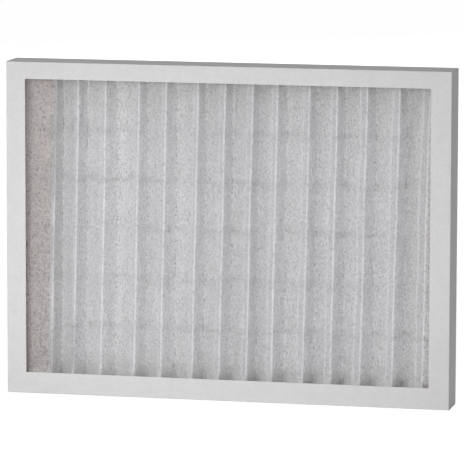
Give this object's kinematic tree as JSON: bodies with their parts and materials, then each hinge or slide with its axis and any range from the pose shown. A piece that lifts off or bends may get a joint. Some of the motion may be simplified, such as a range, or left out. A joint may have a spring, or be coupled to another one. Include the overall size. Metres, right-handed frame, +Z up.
{
  "type": "pleated panel air filter",
  "caption": "Flat rectangular air filter panel: a folded white board frame round a pleated white fleece with a wire support grid behind it.",
  "frame": {"origin": "middle of the bottom edge of the frame, halfway through its depth", "axes": "+X along the width, to the right as seen from the air-entering face; +Y through the depth, from the air-entering face to the air-leaving face; +Z up"},
  "size_m": [0.495, 0.0446, 0.368],
  "materials": {
    "frame_board": "matt clay-coated white board, die-cut and creased",
    "fleece": "soft bonded synthetic fleece, matt, fine fibres",
    "grid_wire": "drawn galvanised wire",
    "adhesive": "set hot-melt adhesive, slightly cloudy"
  },
  "bodies": {
    "root": {"front_frame": "frame_board", "rear_frame": "frame_board", "pleated_media": "fleece", "wire_grid": "grid_wire", "seal_top": "adhesive", "seal_bottom": "adhesive", "seal_left": "adhesive", "seal_right": "adhesive"}
  },
  "joints": []
}
